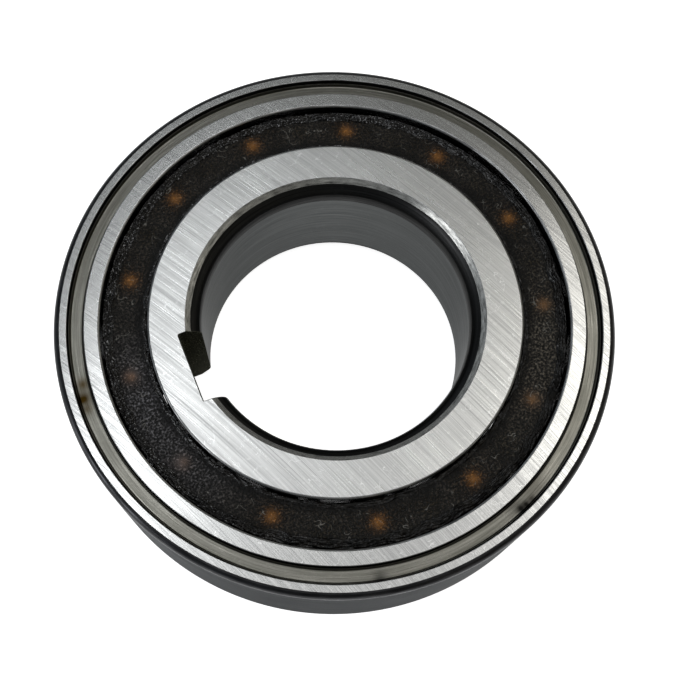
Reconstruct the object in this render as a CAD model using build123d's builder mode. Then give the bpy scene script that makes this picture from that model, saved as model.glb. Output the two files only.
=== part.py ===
"""Sprag clutch bearing, 30 x 62 x 16 mm, with a keyed bore.

A ball row in the front half carries the rings on each other. A row of sprags in the back half lets
the inner ring turn one way and wedges between the rings the other way.

Frame: the bore axis is +Z, the back face lies in Z = 0 and the front face, where the ball cage shows,
in Z = width. The keyway faces -X. All lengths are in millimetres and all angles in degrees.
"""

import os
from math import asin, cos, radians, sin, sqrt, tan

from build123d import *

# Rings
outer_diameter = 62.0
bore_diameter = 30.0
width = 16.0
race_gap = 5.13  # between the race lands of the two rings
outer_wall_share = 0.46642  # the outer ring's part of the room that the race gap leaves for both walls
outer_corner_radius = 0.7
land_break = 0.25  # bevel between each face and each race land

# Shallow ring groove in the front face of the outer ring
groove_rim = 1.48  # land left between the groove and the outside
groove_width = 1.85
groove_depth = 1.0
groove_wall_slope = 0.3  # how far each wall leans in at the floor

# Mouths of the bore
lead_width = 1.63  # radial, at the front face
lead_depth = 2.5
lead_bevel = 0.55  # turned bevel at the face, before the lead's radius
back_bevel = 1.2

# Keyway, for a shallow parallel key
keyway_width = 8.0
keyway_depth = 2.0
keyway_corner_radius = 0.25

# Ball row
ball_count = 13
ball_diameter = 6.35
ball_row_angle = 9.25  # of the first ball, from +X
ball_play = 0.02  # between a ball and each raceway
raceway_conformity = 0.52  # groove radius over ball diameter

# Ball cage: a snap cage, closed at the front
ball_cage_recess = 1.2  # below the front face
ball_cage_web = 0.45  # over the top of each ball
ball_cage_inner_gap = 0.25
ball_cage_outer_gap = 0.28
ball_cage_edge_bevel = 0.25
pocket_play = 0.08
horn_reach = 1.8  # past the balls' centres
horn_thickness = 1.1  # beside a ball's centre
relief_height = 0.9  # how far the gap between horns runs above the balls' centres

# Sprags. Their section goes by the gap between the races, so these are shares of it.
sprag_count = 24
strut_angle = 3.0  # between the line through both contacts and the radius
sprag_play = 0.02  # between a sprag and each race
outer_cam_share = 0.643  # radius of the head's cam
inner_cam_share = 0.507  # radius of the foot's cam
head_share = 0.78  # width of the head
shank_share = 0.546  # width of the shank
corner_share = 0.05  # bevel on the outer corners
notch_share = 0.224  # depth of the garter spring's notch
garter_share = 0.164  # diameter of the garter spring's coil

# Sprag cage: a drum with a window for each shank, and a flange at the back
sprag_cage_recess = 1.2  # in front of the back face
flange_thickness = 0.8
flange_gap = 0.28  # to the outer race
end_ring_height = 0.7
row_gap = 0.26  # between the sprag cage and the balls
sprag_end_play = 0.08
window_play = 0.2  # beside each shank
drum_start_share = 0.18  # inside of the drum, as a share of the gap from the inner race
drum_end_share = 0.6  # outside of the drum
clearance_share = 0.039  # under each head, room to lean
sight_share = 0.1  # margin between a head's outline and its window in the flange

# Snap lugs that hold the sprag cage in the outer ring
lug_count = 6
lug_angle = 16.0
lug_height = 0.3  # above the outer race
lug_thickness = 0.4
lug_play = 0.1

# Garter spring in the notches of the sprag heads
garter_play = 0.05  # under the coil
notch_play = 0.13  # each side of the coil

# Worked out
outer_radius = outer_diameter / 2
bore_radius = bore_diameter / 2
outer_race = outer_radius - outer_wall_share * (outer_radius - bore_radius - race_gap)
inner_race = outer_race - race_gap
pitch_radius = (outer_race + inner_race) / 2
ball_radius = ball_diameter / 2
groove_radius = raceway_conformity * ball_diameter
ball_cage_top = width - ball_cage_recess
pocket_radius = ball_radius + pocket_play
ball_height = ball_cage_top - ball_cage_web - pocket_radius
flange_top = sprag_cage_recess + flange_thickness
sprag_cage_top = ball_height - ball_radius - row_gap
window_height = sprag_cage_top - end_ring_height - flange_top
sprag_bottom = flange_top + sprag_end_play
sprag_length = window_height - 2 * sprag_end_play
sprag_middle = sprag_bottom + sprag_length / 2
outer_cam_radius = outer_cam_share * race_gap
inner_cam_radius = inner_cam_share * race_gap
head_width = head_share * race_gap
shank_width = shank_share * race_gap
notch_depth = notch_share * race_gap
garter_diameter = garter_share * race_gap
sight_margin = sight_share * race_gap
drum_inner = inner_race + drum_start_share * race_gap
drum_outer = inner_race + drum_end_share * race_gap
head_start = drum_outer + clearance_share * race_gap
flange_radius = outer_race - flange_gap
lug_middle = sprag_cage_recess + flange_thickness / 2
garter_radius = outer_race - sprag_play - notch_depth + garter_play + garter_diameter / 2

# The strut runs from the inner contact, on the +Y side of a sprag on the X axis, to the outer contact
# on its -Y side, so a sprag wedges when the inner ring is driven clockwise as the front face shows it.
contact_offset = race_gap * tan(radians(strut_angle)) / 2
outer_contact = -asin(contact_offset / outer_race)
inner_contact = asin(contact_offset / inner_race)
outer_cam_distance = outer_race - sprag_play - outer_cam_radius
inner_cam_distance = inner_race + sprag_play + inner_cam_radius
outer_cam = (outer_cam_distance * cos(outer_contact), outer_cam_distance * sin(outer_contact))
inner_cam = (inner_cam_distance * cos(inner_contact), inner_cam_distance * sin(inner_contact))


def save(piece, name):
    """Label a finished piece and write it as its own STEP file."""
    piece.part.label = name
    export_step(piece.part, f"parts/{name}.step")


def section(inner, outer, bottom, top, mode=Mode.ADD):
    """Rectangle of a ring's section, between two radii and two heights."""
    with Locations(((inner + outer) / 2, (bottom + top) / 2)):
        Rectangle(outer - inner, top - bottom, mode=mode)


def outer_ring():
    """Outer ring: face groove, race land shared by both rows, ball raceway and snap groove."""
    with BuildPart() as ring:
        with BuildSketch(Plane.XZ) as profile:
            section(outer_race, outer_radius, 0, width)
            chamfer(profile.vertices().group_by(Axis.X)[0], land_break)
            fillet(profile.vertices().group_by(Axis.X)[-1], outer_corner_radius)
            with Locations((pitch_radius + ball_radius + ball_play - groove_radius, ball_height)):
                Circle(groove_radius, mode=Mode.SUBTRACT)
            groove_outer = outer_radius - groove_rim
            groove_inner = groove_outer - groove_width
            with BuildLine():
                Polyline(
                    (groove_inner, width),
                    (groove_inner + groove_wall_slope, width - groove_depth),
                    (groove_outer - groove_wall_slope, width - groove_depth),
                    (groove_outer, width),
                    close=True,
                )
            make_face(mode=Mode.SUBTRACT)
            snap_half = lug_thickness / 2 + lug_play
            snap_bottom = lug_middle - snap_half
            snap_top = lug_middle + snap_half
            snap_outer = outer_race + lug_height + lug_play
            section(outer_race, snap_outer, snap_bottom, snap_top, mode=Mode.SUBTRACT)
        revolve(axis=Axis.Z)
    save(ring, "outer_ring")


def inner_ring():
    """Inner ring: keyed bore with a rounded lead at the front, race land and ball raceway."""
    with BuildPart() as ring:
        with BuildSketch(Plane.XZ) as profile:
            section(bore_radius, inner_race, 0, width)
            chamfer(profile.vertices().group_by(Axis.X)[-1], land_break)
            chamfer(profile.vertices().group_by(Axis.X)[0].sort_by(Axis.Y)[0], back_bevel)
            with Locations((pitch_radius - ball_radius - ball_play + groove_radius, ball_height)):
                Circle(groove_radius, mode=Mode.SUBTRACT)
            with BuildLine():
                mouth = (bore_radius + lead_width, width)
                bevel_end = (mouth[0] - lead_bevel, width - lead_bevel)
                lead_end = (bore_radius, width - lead_depth)
                Polyline(lead_end, (bore_radius, width), mouth, bevel_end)
                TangentArc(lead_end, bevel_end, tangent=(0, 1))
            make_face(mode=Mode.SUBTRACT)
        revolve(axis=Axis.Z)
        with BuildSketch() as keyway:
            floor = bore_radius + keyway_depth
            section(-floor, 0, -keyway_width / 2, keyway_width / 2)
            fillet(keyway.vertices().group_by(Axis.X)[0], keyway_corner_radius)
        extrude(amount=width, mode=Mode.SUBTRACT)
    save(ring, "inner_ring")


def ball_cage():
    """Snap cage: a closed rim at the front, and a pair of horns round each ball."""
    cage_inner = inner_race + ball_cage_inner_gap
    cage_outer = outer_race - ball_cage_outer_gap
    horn_bottom = ball_height - horn_reach
    spacing = 2 * pitch_radius * sin(radians(180 / ball_count))
    relief_width = spacing - 2 * (pocket_radius + horn_thickness)
    relief_span = horn_reach + relief_height
    with BuildPart() as cage:
        with BuildSketch(Plane.XZ) as profile:
            section(cage_inner, cage_outer, horn_bottom, ball_cage_top)
            chamfer(profile.vertices().group_by(Axis.Y)[-1], ball_cage_edge_bevel)
        revolve(axis=Axis.Z)
        with Locations((0, 0, ball_height)):
            with PolarLocations(pitch_radius, ball_count, ball_row_angle):
                Sphere(pocket_radius, mode=Mode.SUBTRACT)
        with Locations((0, 0, horn_bottom + relief_span / 2)):
            with PolarLocations(pitch_radius, ball_count, ball_row_angle + 180 / ball_count):
                Box(2 * race_gap, relief_width, relief_span, mode=Mode.SUBTRACT)
    save(cage, "ball_cage")


def balls():
    """The row of balls, one node each."""
    places = PolarLocations(pitch_radius, ball_count, ball_row_angle).local_locations
    for number, place in enumerate(places, start=1):
        with BuildPart(Plane.XY.offset(ball_height)) as ball:
            with Locations(place):
                Sphere(ball_radius)
        save(ball, f"ball_{number:02d}")


def sprag(number):
    """One sprag: a wide cammed head outside the drum, a shank through its window, a cammed foot."""
    angle = radians(360 * (number - 1) / sprag_count)
    foot = Plane(origin=(0, 0, sprag_bottom), x_dir=(cos(angle), sin(angle), 0), z_dir=(0, 0, 1))
    head_half = head_width / 2
    shank_half = shank_width / 2

    def head_end(y):
        return (outer_cam[0] + sqrt(outer_cam_radius**2 - (y - outer_cam[1]) ** 2), y)

    def foot_end(y):
        return (inner_cam[0] - sqrt(inner_cam_radius**2 - (y - inner_cam[1]) ** 2), y)

    with BuildPart() as body:
        with BuildSketch(foot) as outline:
            with BuildLine():
                crown = (outer_cam[0] + outer_cam_radius, outer_cam[1])
                sole = (inner_cam[0] - inner_cam_radius, inner_cam[1])
                ThreePointArc(head_end(-head_half), crown, head_end(head_half))
                Polyline(
                    head_end(head_half),
                    (head_start, head_half),
                    (head_start, shank_half),
                    foot_end(shank_half),
                )
                ThreePointArc(foot_end(shank_half), sole, foot_end(-shank_half))
                Polyline(
                    foot_end(-shank_half),
                    (head_start, -shank_half),
                    (head_start, -head_half),
                    head_end(-head_half),
                )
            make_face()
            across = outline.vertices().group_by(Axis.Y)
            foot_corners = outline.vertices().sort_by(Axis.X)[:2]
            chamfer(across[0] + across[-1] + foot_corners, corner_share * race_gap)
        extrude(amount=sprag_length)
        with BuildSketch(foot.offset(sprag_length / 2)):
            section(pitch_radius, outer_radius, -head_width, head_width)
            with Locations(outer_cam):
                Circle(outer_cam_radius - notch_depth, mode=Mode.SUBTRACT)
        extrude(amount=garter_diameter / 2 + notch_play, both=True, mode=Mode.SUBTRACT)
    save(body, f"sprag_{number:02d}")


def sprag_cage():
    """Drum with a window for each shank, a flange with a sight window on each head, and snap lugs."""
    window_width = shank_width + 2 * window_play
    sight_start = head_start + sight_margin / 2
    sight_end = outer_race - 2 * sight_margin
    with BuildPart() as cage:
        with BuildSketch(Plane.XZ):
            section(drum_inner, drum_outer, sprag_cage_recess, sprag_cage_top)
            section(drum_inner, flange_radius, sprag_cage_recess, flange_top)
        revolve(axis=Axis.Z)
        for lug in range(lug_count):
            turn = 360 * lug / lug_count
            with BuildSketch(Plane.XZ.rotated((0, 0, turn))):
                lug_bottom = lug_middle - lug_thickness / 2
                section(drum_outer, outer_race + lug_height, lug_bottom, lug_bottom + lug_thickness)
            revolve(axis=Axis.Z, revolution_arc=lug_angle)
        with Locations((0, 0, flange_top + window_height / 2)):
            with PolarLocations((drum_inner + drum_outer) / 2, sprag_count):
                Box(race_gap, window_width, window_height, mode=Mode.SUBTRACT)
        with Locations((0, 0, lug_middle)):
            with PolarLocations((sight_start + sight_end) / 2, sprag_count):
                Box(
                    sight_end - sight_start,
                    head_width - 2 * sight_margin,
                    2 * flange_thickness,
                    mode=Mode.SUBTRACT,
                )
    save(cage, "sprag_cage")


def garter_spring():
    """Outside of the close-wound coil that draws the sprags inwards."""
    with BuildPart() as spring:
        with Locations((0, 0, sprag_middle)):
            Torus(garter_radius, garter_diameter / 2)
    save(spring, "garter_spring")


os.makedirs("parts", exist_ok=True)
outer_ring()
inner_ring()
ball_cage()
balls()
sprag_cage()
for sprag_number in range(1, sprag_count + 1):
    sprag(sprag_number)
garter_spring()
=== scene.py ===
# %% [markdown]
# # A one-way clutch bearing
#
# This lesson dresses a ball bearing with a row of sprags behind the balls. The outer ring is pressed into
# a housing, the inner ring is keyed to a shaft, and the sprags let one turn in the other one way only.
# The solids come ready made from the CAD model, in metres, with the bore along +Z and the front face up.
# Here they get ground steel, painted shade on the groove walls, outer corners, bore mouths and greased
# lands, dark moulded plastic and grease.

import math

import bpy
import numpy as np
from mathutils import Matrix, Vector


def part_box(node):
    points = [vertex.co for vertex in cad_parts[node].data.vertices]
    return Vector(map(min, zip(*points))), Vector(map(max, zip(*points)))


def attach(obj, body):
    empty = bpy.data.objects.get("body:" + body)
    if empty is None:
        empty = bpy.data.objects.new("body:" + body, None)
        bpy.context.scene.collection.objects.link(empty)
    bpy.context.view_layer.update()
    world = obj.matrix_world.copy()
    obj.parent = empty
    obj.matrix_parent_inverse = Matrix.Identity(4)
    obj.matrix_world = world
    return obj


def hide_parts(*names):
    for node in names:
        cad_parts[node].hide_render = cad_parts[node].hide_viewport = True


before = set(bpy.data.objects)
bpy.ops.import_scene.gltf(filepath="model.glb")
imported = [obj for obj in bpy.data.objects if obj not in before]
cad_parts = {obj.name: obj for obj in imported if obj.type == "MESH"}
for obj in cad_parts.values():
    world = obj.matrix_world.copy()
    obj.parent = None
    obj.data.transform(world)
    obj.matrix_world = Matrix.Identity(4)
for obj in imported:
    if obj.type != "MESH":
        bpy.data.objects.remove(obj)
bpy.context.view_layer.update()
MM = 0.001

# %% [markdown]
# ## Sizes shared with the solids
#
# Each new surface has to lie where its solid lies, so the heights and radii that a box gives are read from
# the boxes. The rest repeats the model's own dimensions.

# %% Heights and radii, in millimetres


def reach(node):
    """Radius of a node, as its furthest corner along X, and its lowest and highest points, in mm."""
    low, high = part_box(node)
    return high.x / MM, low.z / MM, high.z / MM


outer_radius, back_height, front_height = reach("outer_ring")
inner_race = reach("inner_ring")[0]
cage_top = reach("ball_cage")[2]
outer_race, bore_radius = 25.93, 15.0
ball_radius, running_gap, raceway_radius = 3.175, 0.02, 3.302
snap_depth, snap_low, snap_high = 0.4, 1.3, 1.9
ball_count = sum(name.startswith("ball_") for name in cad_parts) - 1
ball_low, ball_high = (np.array(corner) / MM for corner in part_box("ball_01"))
ball_middle = (ball_low + ball_high) / 2
pitch_radius = math.hypot(ball_middle[0], ball_middle[1])
first_ball = math.atan2(ball_middle[1], ball_middle[0])
print("rings", outer_radius, outer_race, inner_race, bore_radius, "width", front_height)
print("balls", ball_count, "pitch radius", round(pitch_radius, 3))
print("first ball at", round(math.degrees(first_ball), 2), "degrees")

# %% [markdown]
# ## From a grid of points to a mesh
#
# Every new piece is one grid: its first parameter runs round the ring and its second along the section.
# Neighbours on the grid make the four-sided faces, and both directions close on themselves, so no seam
# is left open. The sign of the enclosed volume says whether the faces point outwards.

# %% Turn a closed grid into an object


def grid_piece(name, points, body, finishes, zone=None):
    """Mesh of a grid of points that closes in both directions.

    Face (i, j) joins points (i, j), (i+1, j), (i+1, j+1) and (i, j+1). The volume is a sixth of the sum,
    over the faces, of the first corner times the cross product of both diagonals.
    """
    columns, rows = points.shape[:2]
    number = np.arange(columns * rows).reshape(columns, rows)
    beside = np.roll(number, -1, axis=0)
    faces = np.stack([number, beside, np.roll(beside, -1, axis=1), np.roll(number, -1, axis=1)], axis=-1)
    faces = faces.reshape(-1, 4)
    flat = points.reshape(-1, 3)
    a, b, c, d = (flat[faces[:, k]] for k in range(4))
    if np.sum(a * np.cross(b - d, c - a)) < 0:
        faces = faces[:, ::-1]
    mesh = bpy.data.meshes.new(name)
    mesh.from_pydata((flat * MM).tolist(), [], faces.tolist())
    mesh.shade_smooth()
    for finish in finishes:
        mesh.materials.append(finish)
    if zone is not None:
        mesh.polygons.foreach_set("material_index", np.broadcast_to(zone, (columns, rows)).ravel())
    mesh.update()
    piece = bpy.data.objects.new(name, mesh)
    bpy.context.scene.collection.objects.link(piece)
    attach(piece, body)
    print(name, "has", 2 * len(faces), "triangles")
    return piece


# %% [markdown]
# ## Edges that catch the light
#
# No real edge is perfectly sharp. A turned or ground ring has small broken edges, and each shows as a thin
# bright line. So the section's corners are replaced by small arcs. A straight run also keeps a point close
# to each end, which stops the shading of the arc from spreading over the flat.

# %% Round the corners of a section


def rounded(corners, steps=4, support=0.03):
    """Closed outline whose corners are arcs. A corner is (radius, height, arc radius, zone, arc zone).

    With unit directions a into the corner and b out of it, the turn is the angle between them, the arc
    starts its radius times tan(turn / 2) before the corner, and its points are the corner of the arc's
    own circle turned step by step. An arc radius of 0 keeps the corner itself.
    """
    table = np.array(corners, float)
    p, r = table[:, :2], table[:, 2]
    a = p - np.roll(p, 1, axis=0)
    b = np.roll(p, -1, axis=0) - p
    a /= np.linalg.norm(a, axis=1, keepdims=True)
    b /= np.linalg.norm(b, axis=1, keepdims=True)
    turn = np.arctan2(a[:, 0] * b[:, 1] - a[:, 1] * b[:, 0], np.sum(a * b, axis=1))
    side = np.sign(turn)[:, None] * np.stack([-a[:, 1], a[:, 0]], axis=1)
    start = p - a * (r * np.tan(np.abs(turn) / 2))[:, None]
    share = np.linspace(0, 1, steps + 1)
    swing = (np.abs(turn)[:, None] * share)[:, :, None]
    arc = start[:, None] + r[:, None, None] * (
        np.sin(swing) * a[:, None] + (1 - np.cos(swing)) * side[:, None]
    )
    before = (start - a * support)[:, None]
    after = (arc[:, -1] + b * support)[:, None]
    points = np.concatenate([before, arc, after], axis=1)
    keep = np.ones(points.shape[:2], bool)
    keep[r == 0] = False
    keep[r == 0, 1] = True
    zone = np.repeat(table[:, 3].astype(int)[:, None], steps + 3, axis=1)
    zone[:, 1 : steps + 1] = table[:, 4].astype(int)[:, None]
    zone[:, 0] = np.roll(table[:, 3], 1).astype(int)
    zone[r == 0] = table[r == 0, 3].astype(int)[:, None]
    return points[keep], zone[keep]


def bow(middle, radius, start, end, count, zone):
    """Arc of a section as corners without arcs of their own: angles in degrees, points evenly spaced."""
    angle = np.radians(np.linspace(start, end, count))
    across, up = middle[0] + radius * np.cos(angle), middle[1] + radius * np.sin(angle)
    return [(x, z, 0, zone, zone) for x, z in zip(across, up)]


# Groove walls, outer corners, bore mouths and the lands beside the cage get painted shade in their colours.
ZONES = (
    "face", "land", "barrel", "corner", "skin", "edge", "race",
    "greased_shaded", "groove", "bevel", "neck_shade", "lead_shade", "bore", "keyway",
)
FACE, LAND, BARREL, SHADED_CORNER, SHADED_WALL, EDGE, RACE = range(7)
GREASED_SHADED, GROOVE, BEVEL, SHADED_NECK, SHADED_LEAD, BORE, KEYWAY = range(7, len(ZONES))
print("zones:", ", ".join(ZONES))

# %% [markdown]
# ## Outer ring
#
# The section is drawn once and turned round the axis. It runs down the outside, across the back, up past
# the snap groove and the ball raceway, and over the front face with its shallow ring groove.

# %% Section of the outer ring
top, back = front_height, back_height
groove_depth, mouth_step = 1.0, 0.02
raceway_middle = (pitch_radius + ball_radius + running_gap - raceway_radius, ball_middle[2])
half_mouth = math.degrees(math.acos((outer_race - raceway_middle[0]) / raceway_radius))
raceway_end = raceway_middle[1] + raceway_radius * math.sin(math.radians(half_mouth)) + mouth_step
outer_corners = [
    (outer_radius, top, 0.7, BARREL, SHADED_CORNER),
    (outer_radius, back, 0.7, LAND, SHADED_CORNER),
    (outer_race, back, 0.25, RACE, EDGE),
    (outer_race, snap_low, 0.04, SHADED_WALL, EDGE),
    (outer_race + snap_depth, snap_low, 0.04, SHADED_WALL, SHADED_WALL),
    (outer_race + snap_depth, snap_high, 0.04, SHADED_WALL, SHADED_WALL),
    (outer_race, snap_high, 0.04, RACE, EDGE),
    *bow(raceway_middle, raceway_radius, -half_mouth, half_mouth, 21, RACE),
    (outer_race, raceway_end, 0, GREASED_SHADED, GREASED_SHADED),
    (outer_race, top, 0.25, LAND, EDGE),
    (27.67, top, 0.09, SHADED_WALL, EDGE),
    (27.82, top - 0.5, 0, GROOVE, GROOVE),
    (27.97, top - groove_depth, 0.12, GROOVE, GROOVE),
    (29.22, top - groove_depth, 0.12, GROOVE, GROOVE),
    (29.33, top - 0.63, 0, LAND, LAND),
    (29.37, top - 0.5, 0, SHADED_WALL, SHADED_WALL),
    (29.52, top, 0.09, LAND, EDGE),
]
outer_section, outer_zone = rounded(outer_corners)


def turned(section, columns):
    """Surface of revolution: radius times the cosine and sine of the angle, and the height as it is."""
    angle = np.linspace(0, 2 * np.pi, columns, endpoint=False)[:, None]
    radius, height = section[:, 0], section[:, 1]
    return np.stack([radius * np.cos(angle), radius * np.sin(angle), height + 0 * angle], axis=-1)


print("outer section has", len(outer_section), "points")

# %% [markdown]
# ## Inner ring
#
# The keyway breaks the round outline, so this ring is not a plain turned shape. Each level of the section
# has its own outline in plan: the floor of the keyway, two small hollow corners, two side walls, two broken
# edges and the rest of the circle. All levels have as many points, so the levels still make one grid.

# %% Plan outlines with the keyway
key_half, key_floor, key_corner, key_break, key_flare = 4.0, 17.0, 0.25, 0.1, 0.12


def keyed_outline(radius, widen):
    """Outlines in plan for arrays of bore radii, with the keyway opened by the array `widen` all round.

    The broken edge is a circle of radius b outside the bore circle and above the side wall: its middle
    lies at the height w + b, and at the distance radius + b from the axis. The side wall runs from there
    to the hollow corner, whose middle is its own radius away from both the wall and the floor.
    """
    radius, widen = radius[None], widen[None]
    wall, floor = key_half + widen, key_floor + widen
    share = np.linspace(0, 1, 5)[:, None]
    middle_y = wall + key_break
    middle_x = np.sqrt((radius + key_break) ** 2 - middle_y**2)
    tip = np.arctan2(middle_y, middle_x)
    swing = -np.pi / 2 + share * (tip + np.pi / 2 - np.pi)
    edge_x = middle_x + key_break * np.cos(swing)
    edge_y = middle_y + key_break * np.sin(swing)
    run = np.array([0.03, 0.35, 0.65, 0.97])[:, None]
    wall_x = floor - key_corner + run * (middle_x - floor + key_corner)
    bend = share * np.pi / 2
    corner_x = floor - key_corner + key_corner * np.cos(bend)
    corner_y = wall - key_corner + key_corner * np.sin(bend)
    floor_y = (wall - key_corner) * np.array([0.0, 0.3, 0.6, 0.85, 0.98])[:, None]
    half_x = np.concatenate([floor + 0 * floor_y, corner_x, wall_x, edge_x])
    half_y = np.concatenate([floor_y, corner_y, wall + 0 * wall_x, edge_y])
    way = np.concatenate([[0.004, 0.012], np.linspace(0, 1, 301)[1:-1], [0.988, 0.996]])
    angle = tip + np.sort(way)[:, None] * (2 * np.pi - 2 * tip)
    x = np.concatenate([half_x, radius * np.cos(angle), half_x[:0:-1]])
    y = np.concatenate([half_y, radius * np.sin(angle), -half_y[:0:-1]])
    return -x, -y


print("keyway", 2 * key_half, "wide, floor", key_floor, "from the axis")

# %% Section of the inner ring, level by level
inner_middle = (pitch_radius - ball_radius - running_gap + raceway_radius, ball_middle[2])
inner_mouth = math.degrees(math.acos((inner_middle[0] - inner_race) / raceway_radius))
lead_start, lead_end, mouth = (16.08, top - 0.55), (bore_radius, top - 2.5), (16.63, top)
lead_width, lead_drop = lead_start[0] - lead_end[0], lead_start[1] - lead_end[1]
bulge = (lead_width**2 + lead_drop**2) / (2 * lead_width)
sweep = math.degrees(math.asin(lead_drop / bulge))
inner_corners = [
    (inner_race, raceway_end, 0, GREASED_SHADED, GREASED_SHADED),
    (inner_race, top, 0.25, FACE, EDGE),
    (*mouth, 0.08, BEVEL, EDGE),
    (*lead_start, 0.15, SHADED_NECK, SHADED_NECK),
    *bow((bore_radius + bulge, lead_end[1]), bulge, 180 - 0.8 * sweep, 180 - 0.45 * sweep, 4, SHADED_NECK),
    *bow((bore_radius + bulge, lead_end[1]), bulge, 180 - 0.4 * sweep, 180, 5, SHADED_LEAD),
    (bore_radius, top - 2.7, 0, BORE, BORE),
    (bore_radius, back + 1.2, 0.9, SHADED_NECK, SHADED_NECK),
    (bore_radius + 1.2, back, 0.1, FACE, EDGE),
    (inner_race, back, 0.25, RACE, EDGE),
    *bow(inner_middle, raceway_radius, 180 + inner_mouth, 180 - inner_mouth, 21, RACE),
]
inner_section, inner_zone = rounded(inner_corners)


def keyed_ring(section):
    """Grid of the keyed ring: each level of the section is one outline in plan.

    Levels on the bore side follow the keyed outline. Levels on the race side are plain circles, with the
    points at the angles that the outline has at the mouth, so the face between them fans out evenly. Two
    levels on one flat face also lie apart in the keyway, so that no face of the grid is without area.
    """
    radius, height = section[:, 0], section[:, 1]
    widen = np.clip(key_flare - np.minimum(top - height, height - back), 0, None)
    for on_face in (height > top - 1e-6, height < back + 1e-6):
        level = on_face & (radius < key_floor)
        widen[level] += radius[level] - radius[level].min()
    x, y = keyed_outline(np.minimum(radius, mouth[0] + 0.3), widen)
    mouth_x, mouth_y = keyed_outline(np.array([mouth[0]]), np.array([key_flare]))
    angle = np.arctan2(mouth_y, mouth_x)
    round_level = radius > key_floor + 1
    x = np.where(round_level, radius * np.cos(angle), x)
    y = np.where(round_level, radius * np.sin(angle), y)
    return np.stack([x, y, height + 0 * x], axis=-1)


def keyed_zones(section, zone, columns, side=19):
    """Zones of the keyed ring's faces: the columns that lie in the keyway have the dark skin of its cut.

    Side is the number of points from the middle of the keyway's floor to the bore.
    """
    column = np.arange(columns)[:, None]
    in_keyway = (column < side - 1) | (column >= columns - side + 1)
    in_bore = (section[:, 0] < key_floor) & (zone != FACE)
    return np.where(in_keyway & in_bore, KEYWAY, zone)


print("inner section has", len(inner_section), "points")

# %% [markdown]
# ## Small helpers for materials
#
# A material is a tree of nodes. These helpers keep the cells short. `add` makes a node and fills in its
# sockets. `sums`, `vectors`, `noise`, `blend` and `span` give one node's result. `group` makes a node
# group with named inputs and outputs, and `place` puts it into a tree. `surface` starts a material,
# `own_point` and `millimetres` give it coordinates, and `press` gives it a relief.

# %% Node helpers


def add(tree, kind, inputs=None, **settings):
    """New node of a kind, with its settings as attributes and values or links for its inputs by name."""
    node = tree.nodes.new("ShaderNode" + kind)
    for name, value in settings.items():
        setattr(node, name, value)
    for name, value in (inputs or {}).items():
        if isinstance(value, bpy.types.NodeSocket):
            tree.links.new(value, node.inputs[name])
        else:
            node.inputs[name].default_value = value
    return node


def sums(tree, operation, *values):
    """Math node's result for numbers or links."""
    return add(tree, "Math", dict(enumerate(values)), operation=operation).outputs[0]


def vectors(tree, operation, *values):
    """Vector math node's result: a number for a length or a dot product, and otherwise a vector."""
    result = "Value" if operation in ("LENGTH", "DOT_PRODUCT") else "Vector"
    return add(tree, "VectorMath", dict(enumerate(values)), operation=operation).outputs[result]


def noise(tree, vector, scale, detail, **more):
    """Noise from 0 to 1 at a vector."""
    return add(tree, "TexNoise", {"Vector": vector, "Scale": scale, "Detail": detail, **more}).outputs[0]


def blend(tree, share, low, high):
    """Colour between low and high."""
    node = add(tree, "Mix", data_type="RGBA")
    for socket, value in zip((0, 6, 7), (share, low, high)):
        if isinstance(value, bpy.types.NodeSocket):
            tree.links.new(value, node.inputs[socket])
        else:
            node.inputs[socket].default_value = value if socket == 0 else (*value, 1)
    return node.outputs[2]


def span(tree, value, low, high, start=0.0, end=1.0):
    """Value carried from the range low to high to the range start to end, and held inside it."""
    return add(
        tree, "MapRange", {"Value": value, "From Min": low, "From Max": high, "To Min": start, "To Max": end}
    ).outputs[0]


def group(name, inputs, outputs):
    """Empty node group; inputs and outputs give each socket's name and kind."""
    tree = bpy.data.node_groups.new(name, "ShaderNodeTree")
    for direction, sockets in (("INPUT", inputs), ("OUTPUT", outputs)):
        for socket, kind in sockets.items():
            tree.interface.new_socket(socket, in_out=direction, socket_type="NodeSocket" + kind)
    entry = tree.nodes.new("NodeGroupInput").outputs
    leave = tree.nodes.new("NodeGroupOutput").inputs
    print("group", name, "gives", ", ".join(outputs))
    return tree, entry, leave


def place(tree, source, **inputs):
    """A node group put into a tree, with its inputs by name; returns its outputs."""
    node = tree.nodes.new("ShaderNodeGroup")
    node.node_tree = source
    for name, value in inputs.items():
        if isinstance(value, bpy.types.NodeSocket):
            tree.links.new(value, node.inputs[name])
        else:
            node.inputs[name].default_value = value
    return node.outputs


def surface(name):
    """New material with its tree and its shader."""
    material = bpy.data.materials.new(name)
    material.use_nodes = True
    tree = material.node_tree
    return material, tree, tree.nodes["Principled BSDF"]


def own_point(tree):
    """The object's own coordinates, in metres."""
    return add(tree, "TexCoord").outputs["Object"]


def millimetres(tree, point):
    """Coordinates in millimetres."""
    return add(tree, "Mapping", {"Vector": point, "Scale": (1000,) * 3}).outputs[0]


def press(tree, shader, height, depth):
    """Relief of a depth in millimetres on a shader."""
    bump = add(tree, "Bump", {"Height": height, "Strength": 1.0, "Distance": depth * MM})
    tree.links.new(bump.outputs[0], shader.inputs["Normal"])


print("helpers ready")

# %% [markdown]
# ## Where a point is on the ring
#
# Almost every mark on a bearing follows its axis. The first group turns a point of the piece into its
# radius and its height, in millimetres, and into two vectors: one for marks that run round a face, and
# one for marks that run round a cylinder.

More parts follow.
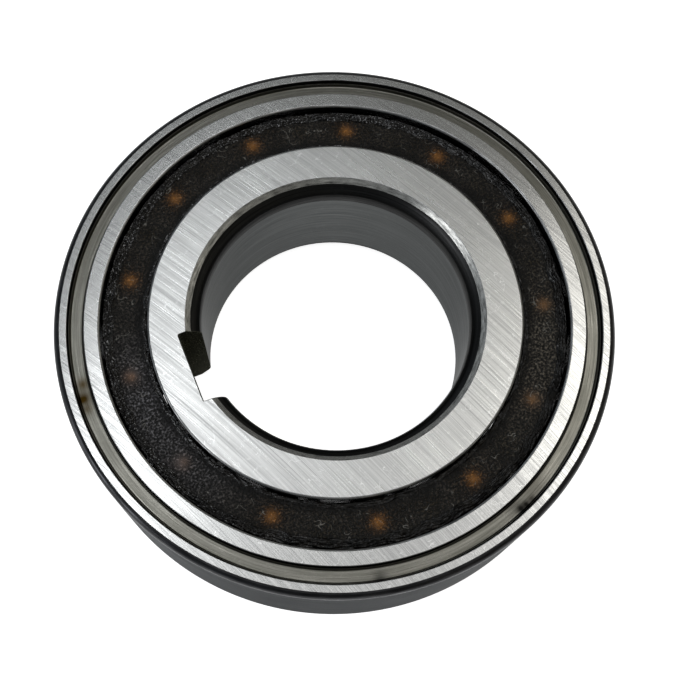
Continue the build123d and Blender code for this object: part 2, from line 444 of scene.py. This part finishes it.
# %% Group: ring place
ring_place, entry, leave = group(
    "Ring place",
    {"Vector": "Vector"},
    {"Radius": "Float", "Height": "Float", "Round": "Vector", "Barrel": "Vector"},
)
in_mm = vectors(ring_place, "MULTIPLY", entry["Vector"], (1000, 1000, 1000))
axes = add(ring_place, "SeparateXYZ", {0: in_mm}).outputs
flat_point = add(ring_place, "CombineXYZ", {"X": axes["X"], "Y": axes["Y"]}).outputs[0]
radius = vectors(ring_place, "LENGTH", flat_point)
round_vector = add(ring_place, "CombineXYZ", {"X": radius, "Y": axes["X"], "Z": axes["Y"]}).outputs[0]
barrel_vector = add(ring_place, "CombineXYZ", {"X": axes["Z"], "Y": axes["X"], "Z": axes["Y"]}).outputs[0]
given = {"Radius": radius, "Height": axes["Z"], "Round": round_vector, "Barrel": barrel_vector}
for socket, value in given.items():
    ring_place.links.new(value, leave[socket])

# %% [markdown]
# ## Marks of the grinding wheel
#
# A ground face is covered with fine scratches that all run one way. Noise that is squeezed across the
# marks and drawn out along them gives the same look: the vector's first part runs across them.

# %% Group: grinding marks
grinding, entry, leave = group(
    "Grinding marks",
    {"Vector": "Vector", "Across": "Float", "Along": "Float"},
    {"Fine": "Float", "Scratch": "Float", "Line": "Float"},
)
along = entry["Along"]
stretch = add(grinding, "CombineXYZ", {"X": entry["Across"], "Y": along, "Z": along}).outputs[0]
drawn = vectors(grinding, "MULTIPLY", entry["Vector"], stretch)
fine = noise(grinding, drawn, 1.0, 3.0, Roughness=0.65)
wide = vectors(grinding, "MULTIPLY", drawn, (0.5, 0.45, 0.45))
rare = noise(grinding, wide, 1.0, 2.0, Roughness=0.8)
thin = vectors(grinding, "MULTIPLY", drawn, (1.6, 0.7, 0.7))
lines = noise(grinding, thin, 1.0, 1.0, Roughness=0.5)
grinding.links.new(span(grinding, fine, 0.3, 0.7), leave["Fine"])
grinding.links.new(span(grinding, rare, 0.6, 0.7), leave["Scratch"])
grinding.links.new(span(grinding, lines, 0.36, 0.28), leave["Line"])

# %% [markdown]
# ## Uneven skin
#
# Oil, heat and handling leave broad patches and small specks. This group gives both at the size asked for.

# %% Group: patches
patches, entry, leave = group(
    "Patches", {"Vector": "Vector", "Size": "Float"}, {"Patch": "Float", "Speck": "Float"}
)
per_mm = sums(patches, "DIVIDE", 1.0, entry["Size"])
broad = noise(patches, entry["Vector"], per_mm, 3.0)
small = sums(patches, "MULTIPLY", per_mm, 9.0)
specks = noise(patches, entry["Vector"], small, 2.0)
patches.links.new(span(patches, broad, 0.35, 0.65), leave["Patch"])
patches.links.new(span(patches, specks, 0.6, 0.72), leave["Speck"])

# %% [markdown]
# ## Lint
#
# A few short hairs and dried drops of oil always lie on a greasy part. The line where a noise crosses one
# value is as thin and as crooked as a hair, and a second noise leaves only a few pieces of it.

# %% Group: lint
lint, entry, leave = group("Lint", {"Vector": "Vector", "Size": "Float"}, {"Hair": "Float"})
per_mm = sums(lint, "DIVIDE", 1.0, entry["Size"])
curl = noise(lint, entry["Vector"], per_mm, 1.0)
here_and_there = noise(lint, entry["Vector"], sums(lint, "MULTIPLY", per_mm, 0.8), 0.0)
off_line = sums(lint, "ABSOLUTE", sums(lint, "SUBTRACT", curl, 0.5))
thin = span(lint, off_line, 0.006, 0.016, 1.0, 0.0)
lint.links.new(sums(lint, "MULTIPLY", thin, span(lint, here_and_there, 0.62, 0.66)), leave["Hair"])

# %% [markdown]
# ## Tinted spots
#
# A tinted spot is a tint that fades away from its middle: a real stain, or a painted sheen. The uneven skin
# breaks up its outline.

# %% Tinted spots


def with_tint_spots(tree, colour, vector, patch, tint_spots):
    """Colour with tinted spots, real stains and painted sheens alike: rows of (x, y, z, size, share, tint),
    in millimetres.

    Each fades as exp(-(distance / size) ** 2).
    """
    for x, y, z, size, share, tint in tint_spots:
        away = vectors(tree, "LENGTH", vectors(tree, "SUBTRACT", vector, (x, y, z)))
        near = sums(tree, "POWER", sums(tree, "DIVIDE", away, size), 2.0)
        faded = sums(tree, "EXPONENT", sums(tree, "MULTIPLY", near, -1.0))
        spotty = sums(tree, "MULTIPLY", faded, span(tree, patch, 0, 1, 0.55 * share, share))
        colour = blend(tree, spotty, colour, tint)
    return colour


print("stains ready")

# %% [markdown]
# ## Steel
#
# All the steel here is one metal with different surfaces: ground or polished, and darkened with painted
# shade on the groove walls, the outer corners, the bore's mouths and, under their grease, the lands beside
# the cage.
# One function lays grinding marks over two colours and two roughnesses, and the marks also press a shallow
# relief into the surface.

# %% Steel finishes


def steel(
    name, dark, light, rough, way, across, along, relief=0.004, pivot=(0, 0, 0),
    patch=6.0, worn=0.25, rim=1.0, metal=1.0, tint_spots=(), hairs=0.0,
):
    """Metal with marks that run round a pivot on a "face", or round a "barrel".

    Rough is the roughness of the light and of the dark marks, and relief their depth. Across and along
    are how closely the marks lie and how soon each ends. Patch is the size of the skin's patches, in
    millimetres, and worn how far they darken it. Rim is the share of the shine left at a grazing look,
    hairs the share of lint, and metal the metallic share.
    """
    material, tree, shader = surface(name)
    point = own_point(tree)
    centred = vectors(tree, "SUBTRACT", point, pivot)
    vector = place(tree, ring_place, Vector=centred)["Round" if way == "face" else "Barrel"]
    marks = place(tree, grinding, Vector=vector, Across=across, Along=along)
    skin_vector = millimetres(tree, point)
    skin = place(tree, patches, Vector=skin_vector, Size=patch)
    tone = sums(tree, "MULTIPLY", marks["Fine"], span(tree, skin["Patch"], 0, 1, 1 - worn, 1))
    colour = blend(tree, tone, dark, light)
    bright = tuple(min(1.0, 1.25 * c) for c in light)
    colour = blend(tree, sums(tree, "MULTIPLY", marks["Scratch"], 0.25), colour, bright)
    colour = blend(tree, sums(tree, "MULTIPLY", skin["Speck"], 0.2), colour, bright)
    deep = tuple(0.45 * c for c in dark)
    colour = blend(tree, sums(tree, "MULTIPLY", marks["Line"], 0.6), colour, deep)
    if hairs:
        hair = place(tree, lint, Vector=skin_vector, Size=0.9)["Hair"]
        colour = blend(tree, sums(tree, "MULTIPLY", hair, hairs), colour, (0.9, 0.9, 0.9))
    colour = with_tint_spots(tree, colour, skin_vector, skin["Patch"], tint_spots)
    tree.links.new(colour, shader.inputs["Base Color"])
    rough_mix = span(tree, tone, 0, 1, rough[1], rough[0])
    tree.links.new(rough_mix, shader.inputs["Roughness"])
    shader.inputs["Metallic"].default_value = metal
    shader.inputs["Specular Tint"].default_value = (rim, rim, rim, 1)
    height = sums(tree, "ADD", marks["Fine"], sums(tree, "MULTIPLY", marks["Scratch"], 0.5))
    press(tree, shader, height, relief)
    print("finish", name)
    return material


# The grinding wheel's axis, in metres, and the stains, in millimetres.
wheel = (-0.1798, -0.0877, 0.0)
floor_level = top - groove_depth
groove_stains = (
    (-28.9, 1.3, floor_level, 0.9, 1.3, (0.025, 0.014, 0.002)),
    (-28.4, 2.8, floor_level, 0.7, 1.2, (0.04, 0.025, 0.006)),
    (-28.9, 0.0, floor_level, 0.6, 1.0, (0.04, 0.025, 0.006)),
    (9.8, -27.3, floor_level, 0.6, 1.4, (0.003, 0.003, 0.003)),
    (10.5, -27.1, floor_level, 0.5, 1.4, (0.003, 0.003, 0.003)),
    (11.3, -26.8, floor_level, 0.45, 1.2, (0.004, 0.004, 0.004)),
    (9.0, -26.6, floor_level, 1.1, 0.6, (0.02, 0.02, 0.018)),
    (12.0, -25.9, floor_level, 1.6, 0.7, (0.03, 0.026, 0.02)),
    (-6.8, -28.3, floor_level, 0.8, 0.8, (0.01, 0.01, 0.01)),
)
finishes = {
    "face": steel(
        "ground_face", (0.38, 0.38, 0.38), (0.70, 0.70, 0.69), (0.24, 0.36),
        "face", 8.0, 0.07, pivot=wheel, relief=0.004, hairs=0.45,
    ),
    "land": steel(
        "lapped_land", (0.36, 0.36, 0.36), (0.66, 0.66, 0.65), (0.19, 0.28),
        "face", 8.0, 0.07, pivot=wheel, relief=0.001, hairs=0.45,
    ),
    "barrel": steel(
        "ground_barrel", (0.13, 0.135, 0.14), (0.22, 0.225, 0.235), (0.3, 0.4),
        "barrel", 5.0, 0.1, rim=0.15,
    ),
    # Painted shade: the rounded outer corners are near black in their colour.
    "corner": steel(
        "shaded_corner", (0.014, 0.014, 0.015), (0.055, 0.055, 0.058), (0.25, 0.35),
        "face", 4.0, 0.3, patch=2.0,
    ),
    # Painted shade: the walls of both grooves are near black in their colour.
    "skin": steel(
        "shaded_groove_wall", (0.004, 0.004, 0.004), (0.022, 0.021, 0.019), (0.3, 0.5),
        "face", 2.5, 0.3, patch=2.0, rim=0.2,
    ),
    "edge": steel(
        "worn_edge", (0.06, 0.06, 0.06), (0.40, 0.40, 0.40), (0.2, 0.35),
        "face", 5.0, 0.3, patch=1.5,
    ),
    "race": steel(
        "race_steel", (0.35, 0.36, 0.37), (0.55, 0.56, 0.57), (0.12, 0.2),
        "barrel", 9.0, 0.1, relief=0.001,
    ),
    # Partly grease, partly painted shade: the lands beside the cage are near black in their colour.
    "greased_shaded": steel(
        "greased_and_shaded_land", (0.004, 0.004, 0.004), (0.06, 0.06, 0.062), (0.12, 0.3),
        "barrel", 3.0, 0.6, relief=0.05, patch=0.8,
    ),
    "groove": steel(
        "turned_groove", (0.108, 0.108, 0.09), (0.27, 0.26, 0.235), (0.24, 0.36),
        "face", 9.0, 0.12, patch=3.0, tint_spots=groove_stains,
    ),
    "bevel": steel(
        "turned_bevel", (0.06, 0.06, 0.057), (0.50, 0.495, 0.475), (0.22, 0.32),
        "face", 7.0, 0.8, relief=0.006, metal=0.6,
    ),
    # Painted shade: the curved mouth of the bore is near black, then dark grey, before the bore itself.
    "neck_shade": steel(
        "shaded_neck", (0.012, 0.012, 0.012), (0.03, 0.03, 0.03), (0.3, 0.45),
        "barrel", 4.0, 0.1, rim=0.4,
    ),
    "lead_shade": steel(
        "shaded_lead", (0.025, 0.025, 0.025), (0.055, 0.055, 0.055), (0.35, 0.5),
        "barrel", 6.0, 0.2, rim=0.7,
    ),
    "bore": steel(
        "honed_bore", (0.095, 0.10, 0.10), (0.155, 0.16, 0.16), (0.3, 0.4),
        "barrel", 5.0, 0.1, rim=0.45,
    ),
    "keyway": steel(
        "broached_keyway", (0.039, 0.039, 0.033), (0.106, 0.106, 0.088), (0.4, 0.6),
        "barrel", 1.5, 5.0, relief=0.01, patch=1.5, rim=0.2,
    ),
}
ring_finishes = [finishes[name] for name in ZONES]

# %% Build both rings
outer_grid = turned(outer_section, 420)
outer_ring = grid_piece("outer_ring_steel", outer_grid, "outer_race", ring_finishes, outer_zone)
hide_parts("outer_ring")
inner_grid = keyed_ring(inner_section)
inner_zones = keyed_zones(inner_section, inner_zone, len(inner_grid))
inner_ring = grid_piece("inner_ring_steel", inner_grid, "inner_race", ring_finishes, inner_zones)
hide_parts("inner_ring")

# %% [markdown]
# ## Cages
#
# Both cages are moulded plastic, dark brown and wet with grease. The front one is thin over each ball, so
# a ball shows through as a soft amber spot. The spots repeat round the ring as the cosine of the angle
# times the number of balls, which has no seam.

# %% Group: ball glow
ball_glow, entry, leave = group(
    "Ball glow", {"Vector": "Vector", "Shift": "Float", "Blur": "Float"}, {"Spot": "Float"}
)
here = place(ball_glow, ring_place, Vector=entry["Vector"])
axes = add(ball_glow, "SeparateXYZ", {0: here["Round"]}).outputs
angle = sums(ball_glow, "SUBTRACT", sums(ball_glow, "ARCTAN2", axes["Z"], axes["Y"]), first_ball)
angle = sums(ball_glow, "ADD", sums(ball_glow, "MULTIPLY", angle, float(ball_count)), entry["Shift"])
wave = sums(ball_glow, "MULTIPLY", sums(ball_glow, "COSINE", angle), 0.9999)
aside = sums(ball_glow, "MULTIPLY", sums(ball_glow, "ARCCOSINE", wave), here["Radius"])
aside = sums(ball_glow, "DIVIDE", aside, float(ball_count))
outward = sums(ball_glow, "SUBTRACT", here["Radius"], pitch_radius)
squares = [sums(ball_glow, "POWER", value, 2.0) for value in (aside, outward, entry["Blur"])]
share = sums(ball_glow, "DIVIDE", sums(ball_glow, "ADD", *squares[:2]), squares[2])
ball_glow.links.new(sums(ball_glow, "EXPONENT", sums(ball_glow, "MULTIPLY", share, -1.0)), leave["Spot"])


def plastic(name, dark, light, spots, painted_sheens=()):
    """Moulded plastic under a film of grease: specks in its colour, fine lumps in its relief.

    With spots, each ball shows through with a wide halo and a small glow, and grease lies half way to the
    next ball. Painted sheens lists lighter, tinted patches of painted sheen. Both rims get painted shade,
    within radii that wander with the patches.
    """
    material, tree, shader = surface(name)
    point = own_point(tree)
    in_mm = millimetres(tree, point)
    skin = place(tree, patches, Vector=in_mm, Size=3.0)
    grain = place(tree, patches, Vector=in_mm, Size=0.26)
    dust_and_glints = place(tree, patches, Vector=in_mm, Size=1.1)
    colour = blend(tree, skin["Patch"], dark, light)
    if spots:
        halo = place(tree, ball_glow, Vector=point, Shift=0.0, Blur=3.2)["Spot"]
        colour = blend(tree, sums(tree, "MULTIPLY", halo, 0.7), colour, (0.032, 0.020, 0.009))
        between = place(tree, ball_glow, Vector=point, Shift=math.pi, Blur=1.3)["Spot"]
        colour = blend(tree, sums(tree, "MULTIPLY", between, 0.35), colour, (0.040, 0.027, 0.008))
        glow = place(tree, ball_glow, Vector=point, Shift=0.0, Blur=0.85)["Spot"]
        colour = blend(tree, sums(tree, "MULTIPLY", glow, 0.9), colour, (0.36, 0.15, 0.034))
    # Painted sheen: lighter, tinted patches on the top stand in for reflected light.
    colour = with_tint_spots(tree, colour, in_mm, skin["Patch"], painted_sheens)
    dots = sums(tree, "POWER", grain["Patch"], 2.5)
    if spots:
        dots = sums(tree, "MAXIMUM", dots, sums(tree, "MULTIPLY", glow, 0.55))
    colour = blend(tree, dots, (0.001, 0.001, 0.001), colour)
    # Light specks: partly dust, partly painted glints of light on the grease.
    colour = blend(tree, sums(tree, "MULTIPLY", dust_and_glints["Speck"], 0.6), colour, (0.13, 0.12, 0.11))
    hair = place(tree, lint, Vector=in_mm, Size=1.1)["Hair"]
    colour = blend(tree, sums(tree, "MULTIPLY", hair, 0.5), colour, (0.25, 0.24, 0.22))
    # Painted shade: both rims of the cage are darkened almost to black next to the ring walls.
    ring = place(tree, ring_place, Vector=point)["Radius"]
    ring = sums(tree, "ADD", ring, sums(tree, "MULTIPLY", sums(tree, "SUBTRACT", skin["Patch"], 0.5), 0.5))
    shaded_rim_inside = span(tree, ring, 21.6, 22.3, 0.8, 0)
    shaded_rim_outside = span(tree, ring, 24.4, 25.0, 0, 0.7)
    colour = blend(tree, sums(tree, "MAXIMUM", shaded_rim_inside, shaded_rim_outside), colour, (0.002, 0.002, 0.002))
    tree.links.new(colour, shader.inputs["Base Color"])
    tree.links.new(span(tree, skin["Speck"], 0, 1, 0.38, 0.2), shader.inputs["Roughness"])
    lumps = sums(tree, "ADD", sums(tree, "MULTIPLY", skin["Patch"], 0.7), grain["Patch"])
    press(tree, shader, lumps, 0.1)
    shader.inputs["Specular IOR Level"].default_value = 0.18
    print("finish", name)
    return material


# Painted sheen on the ball cage's top: cool patches on the left and a warm one on the right.
painted_sheen_places = (
    (-22.5, -2.0, cage_top, 7.0, 1.1, (0.17, 0.165, 0.18)),
    (-20.5, -10.0, cage_top, 5.0, 0.7, (0.15, 0.146, 0.16)),
    (19.5, -12.5, cage_top, 8.0, 0.9, (0.15, 0.13, 0.105)),
)
ball_cage_plastic = plastic(
    "ball_cage_plastic", (0.013, 0.011, 0.008), (0.055, 0.048, 0.041), spots=True, painted_sheens=painted_sheen_places
)
sprag_cage_plastic = plastic(
    "sprag_cage_plastic", (0.014, 0.012, 0.010), (0.045, 0.039, 0.033), spots=False
)
ball_steel = steel(
    "polished_ball", (0.50, 0.51, 0.52), (0.60, 0.61, 0.62), (0.05, 0.10),
    "barrel", 2.0, 2.0, relief=0.0005,
)
sprag_steel = steel(
    "sprag_steel", (0.22, 0.22, 0.23), (0.46, 0.46, 0.46), (0.2, 0.35),
    "barrel", 6.0, 1.0, relief=0.002,
)
spring_steel = steel(
    "spring_steel", (0.25, 0.25, 0.26), (0.5, 0.5, 0.5), (0.15, 0.3),
    "barrel", 4.0, 1.0, relief=0.001,
)

# %% Dress the solids that keep their shape
dressing = {"ball_cage": ball_cage_plastic, "sprag_cage": sprag_cage_plastic}
for name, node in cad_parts.items():
    if name.startswith("ball_") and name != "ball_cage":
        dressing[name] = ball_steel
    if name.startswith("sprag_") and name != "sprag_cage":
        dressing[name] = sprag_steel
for name, finish in dressing.items():
    for material_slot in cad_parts[name].material_slots:
        material_slot.material = finish
print("dressed", len(dressing), "solids")

# %% [markdown]
# ## Garter spring
#
# The spring that draws the sprags inwards is a close-wound coil whose two ends are hooked together. The
# solid is only its outside. The wire's middle line is a helix bent round the ring.

# %% Wind the coil
spring_low, spring_high = (np.array(corner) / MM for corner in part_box("garter_spring"))
coil_outer, coil_height = spring_high[0], (spring_low[2] + spring_high[2]) / 2
coil_diameter = spring_high[2] - spring_low[2]
ring_radius = coil_outer - coil_diameter / 2
wire, pitch_share = 0.2, 1.04
turns = int(2 * np.pi * ring_radius / (wire * pitch_share))


def coil(turns, around=10, section=6):
    """Wire whose middle lies at R + r cos(n t) from the axis and r sin(n t) above the coil's own plane.

    R is the ring's radius, r the winding's radius, n the number of turns and t the angle round the ring.
    The wire's own circle stands on the winding's outward direction and on the ring's direction.
    """
    winding = (coil_diameter - wire) / 2
    t = np.linspace(0, 2 * np.pi, turns * around, endpoint=False)[:, None]
    w = np.linspace(0, 2 * np.pi, section, endpoint=False)[None]
    swing = turns * t
    reach_out = ring_radius + (winding + wire / 2 * np.cos(w)) * np.cos(swing)
    height = coil_height + (winding + wire / 2 * np.cos(w)) * np.sin(swing)
    shift = wire / 2 * np.sin(w)
    x = reach_out * np.cos(t) - shift * np.sin(t)
    y = reach_out * np.sin(t) + shift * np.cos(t)
    return np.stack([x, y, height + 0 * w], axis=-1)


garter = grid_piece("garter_coil", coil(turns), "sprag_cage", [spring_steel])
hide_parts("garter_spring")
print("turns", turns)

# %% [markdown]
# ## Grease
#
# Grease has been pushed out of the balls' row and lies in uneven beads along both edges of the cage.
# Each bead is a thin film whose edges, height and ridges wander round the ring.

# %% A film that wanders
rng = np.random.default_rng(11)
sines, calm = 26, 7


def wander(angle, low, high, waves):
    """Smooth random value between low and high: a sum of sines round the ring, of whole periods."""
    counts = rng.integers(3, waves, sines)
    phases = rng.uniform(0, 2 * np.pi, sines)
    total = np.sum(np.sin(counts[:, None] * angle + phases[:, None]), axis=0) / calm
    return low + (high - low) * (0.5 + 0.5 * np.tanh(total))


def film(near, far, base, rise, ridges, columns=1400, rows=26, sunk=0.02, tucked=0.01):
    """Wavy film of grease between the radii near and far, on a level base.

    Across the film, u goes from 0 to 1. The film's height is sin(pi u) ** 0.5, so it ends on the base at
    both edges, times its rise, and ridges run along it as the sine of 2 pi times their number times u plus
    a phase that wanders round the ring. Finer ridges, 2.5 times as many, lie over them. The underside is
    flat, `sunk` below the base, and `tucked` in from both edges.
    """
    angle = np.linspace(0, 2 * np.pi, columns, endpoint=False)[:, None]
    u = np.linspace(0, 1, rows)[None]
    inner, outer = near(angle.ravel())[:, None], far(angle.ravel())[:, None]
    phase = wander(angle.ravel(), 0, 4 * np.pi, 40)[:, None]
    second = wander(angle.ravel(), 0, 6 * np.pi, 90)[:, None]
    coarse, finer = np.sin(2 * np.pi * ridges * u + phase), np.sin(5 * np.pi * ridges * u + second)
    ripple = 0.55 + 0.3 * coarse + 0.15 * finer
    height = base + rise(angle.ravel())[:, None] * np.sqrt(np.clip(np.sin(np.pi * u), 0, 1)) * ripple
    radius = inner + (outer - inner) * u
    under_radius = np.concatenate([outer - tucked, inner + tucked], axis=1)
    radius = np.concatenate([radius, under_radius], axis=1)
    height = np.concatenate([height, np.full_like(under_radius, base - sunk)], axis=1)
    return np.stack([radius * np.cos(angle), radius * np.sin(angle), height], axis=-1)


print("each edge and height is a sum of", sines, "sines")

# %% Finish of the grease
grease, tree, shader = surface("grease")
point = millimetres(tree, own_point(tree))
smears = place(tree, patches, Vector=point, Size=1.2)
oily = blend(tree, smears["Patch"], (0.001, 0.001, 0.001), (0.006, 0.005, 0.004))
beads = place(tree, patches, Vector=point, Size=2.4)
# Painted highlights: bright specks in the grease's colour stand in for glints of light, mostly on one side.
small_glints = sums(tree, "MULTIPLY", smears["Speck"], 0.35)
large_glints = sums(tree, "MULTIPLY", beads["Speck"], 0.6)
glints = sums(tree, "MAXIMUM", small_glints, large_glints)
glint_side = vectors(tree, "DOT_PRODUCT", point, (-0.6, 0.8, 0))
glints = sums(tree, "MULTIPLY", glints, span(tree, glint_side, -12, 8, 0.08, 1))
tree.links.new(blend(tree, glints, oily, (0.5, 0.5, 0.52)), shader.inputs["Base Color"])
shader.inputs["Specular IOR Level"].default_value = 0.3
tree.links.new(span(tree, smears["Patch"], 0, 1, 0.08, 0.22), shader.inputs["Roughness"])
press(tree, shader, smears["Patch"], 0.16)
print("finish", grease.name)

# %% Shape of the beads
outer_film = film(
    lambda a: wander(a, 24.45, 25.0, 60),
    lambda a: wander(a, 25.74, 25.86, 30),
    cage_top,
    lambda a: wander(a, 0.2, 0.5, 70),
    ridges=3,
)
inner_film = film(
    lambda a: wander(a, 20.84, 20.92, 30),
    lambda a: wander(a, 21.3, 21.6, 60),
    cage_top,
    lambda a: wander(a, 0.1, 0.25, 70),
    ridges=1.5,
    rows=16,
)
for name, points in (("outer_grease", outer_film), ("inner_grease", inner_film)):
    grid_piece(name, points, "ball_cage", [grease])

# %% [markdown]
# ## Camera, floor and light
#
# The part lies on a pale floor under soft studio light.

# %% Camera
to_camera = np.array([-19.27, -38.59, 130.17])
sight = math.radians(-22.5)


def unturned(vector):
    """A vector of the room, turned about the axis by the angle at which the part lies in it."""
    x, y, z = vector
    return (x * math.cos(sight) - y * math.sin(sight), x * math.sin(sight) + y * math.cos(sight), z)


right = unturned((0.99955149, 0.0, 0.02994687))
down = unturned((0.00985745, -0.94427254, -0.32901702))
forward = unturned((0.02827801, 0.32916466, -0.94384903))
lens = bpy.data.cameras.new("camera")
picture_width, focal_length = 680, 1107
lens.sensor_width = 36.0
lens.lens = lens.sensor_width * focal_length / picture_width
lens.clip_start, lens.clip_end = 0.01, 10.0
camera = bpy.data.objects.new("camera", lens)
bpy.context.scene.collection.objects.link(camera)
camera.matrix_world = Matrix(
    [
        (right[0], -down[0], -forward[0], to_camera[0] * MM),
        (right[1], -down[1], -forward[1], to_camera[1] * MM),
        (right[2], -down[2], -forward[2], to_camera[2] * MM),
        (0, 0, 0, 1),
    ]
)
bpy.context.scene.camera = camera
print("camera", [round(v, 2) for v in to_camera])

# %% Floor
floor_mesh = bpy.data.meshes.new("floor")
half, low = 3.0, -0.0001
floor_corners = [(-half, -half, low), (half, -half, low), (half, half, low), (-half, half, low)]
floor_mesh.from_pydata(floor_corners, [], [(0, 1, 2, 3)])
floor = bpy.data.objects.new("floor", floor_mesh)
bpy.context.scene.collection.objects.link(floor)
paper, tree, shader = surface("paper")
shader.inputs["Base Color"].default_value = (0.85, 0.85, 0.85, 1)
shader.inputs["Roughness"].default_value = 0.9
rays = add(tree, "LightPath").outputs
mirrored = sums(tree, "MAXIMUM", rays["Is Glossy Ray"], rays["Is Transmission Ray"])
seen = sums(tree, "MULTIPLY", rays["Is Camera Ray"], 0.85)
glow = sums(tree, "MAXIMUM", seen, sums(tree, "MULTIPLY", mirrored, 0.6))
shader.inputs["Emission Color"].default_value = (1, 1, 1, 1)
tree.links.new(glow, shader.inputs["Emission Strength"])
underneath = add(tree, "NewGeometry").outputs["Backfacing"]
tree.links.new(sums(tree, "SUBTRACT", 1.0, underneath), shader.inputs["Alpha"])
floor_mesh.materials.append(paper)
print("floor", 2 * half, "m wide")

# %% Light


def softbox(name, place_at, size, strength, colour, turn=0.0, aim=None):
    """Panel that faces down, turned by some degrees, or faces an aim.

    Its radiance is its power over pi times its area, so the power is worked back from the strength.
    """
    light = bpy.data.lights.new(name, "AREA")
    light.shape = "RECTANGLE"
    light.size, light.size_y = size
    light.color = colour
    light.energy = strength * math.pi * size[0] * size[1]
    lamp = bpy.data.objects.new(name, light)
    bpy.context.scene.collection.objects.link(lamp)
    lamp.location = place_at
    lamp.rotation_euler = (0, 0, sight + math.radians(turn))
    if aim is not None:
        lamp.rotation_euler = (Vector(aim) - Vector(place_at)).to_track_quat("-Z", "Y").to_euler()
    print("light", name, round(light.energy, 2), "W")
    return lamp


softbox("overhead", unturned((0.0, -0.08, 0.6)), (0.7, 0.5), 0.66, (1.0, 1.0, 1.0))
softbox("left_window", unturned((-0.07, 0.125, 0.45)), (0.22, 0.075), 3.2, (0.95, 0.98, 1.0), turn=62)
softbox("right_lamp", unturned((0.16, 0.125, 0.45)), (0.09, 0.17), 3.0, (1.0, 0.98, 0.92))
softbox("low_window", unturned((-0.6, -0.25, 0.27)), (0.35, 0.3), 4.5, (0.96, 0.98, 1.0), aim=(0, 0, 0.015))

# %% Room
world = bpy.data.worlds.new("studio")
bpy.context.scene.world = world
world.use_nodes = True
sky = world.node_tree
rays = add(sky, "LightPath").outputs
toward = add(sky, "TexCoord").outputs["Generated"]
upward = add(sky, "SeparateXYZ", {0: toward}).outputs["Z"]
across = vectors(sky, "DOT_PRODUCT", toward, unturned((1, 0, 0)))
tint = blend(sky, span(sky, across, -0.5, 0.5), (0.84, 0.93, 1.0), (1.0, 0.97, 0.85))
sky.links.new(blend(sky, rays["Is Camera Ray"], tint, (1, 1, 1)), sky.nodes["Background"].inputs["Color"])
nearer = vectors(sky, "DOT_PRODUCT", toward, unturned((0, -1, 0)))
room_above, room_near = span(sky, upward, 0.1, 0.85, 0.7, 0.16), span(sky, nearer, 0.1, 0.7, 1.0, 0.55)
room = sums(sky, "MULTIPLY", room_above, room_near)
gloss = span(sky, rays["Is Glossy Ray"], 0, 1, 0.4, room)
sky.links.new(sums(sky, "MAXIMUM", rays["Is Camera Ray"], gloss), sky.nodes["Background"].inputs["Strength"])
bpy.context.scene.view_settings.view_transform = "Standard"
print("room ready")
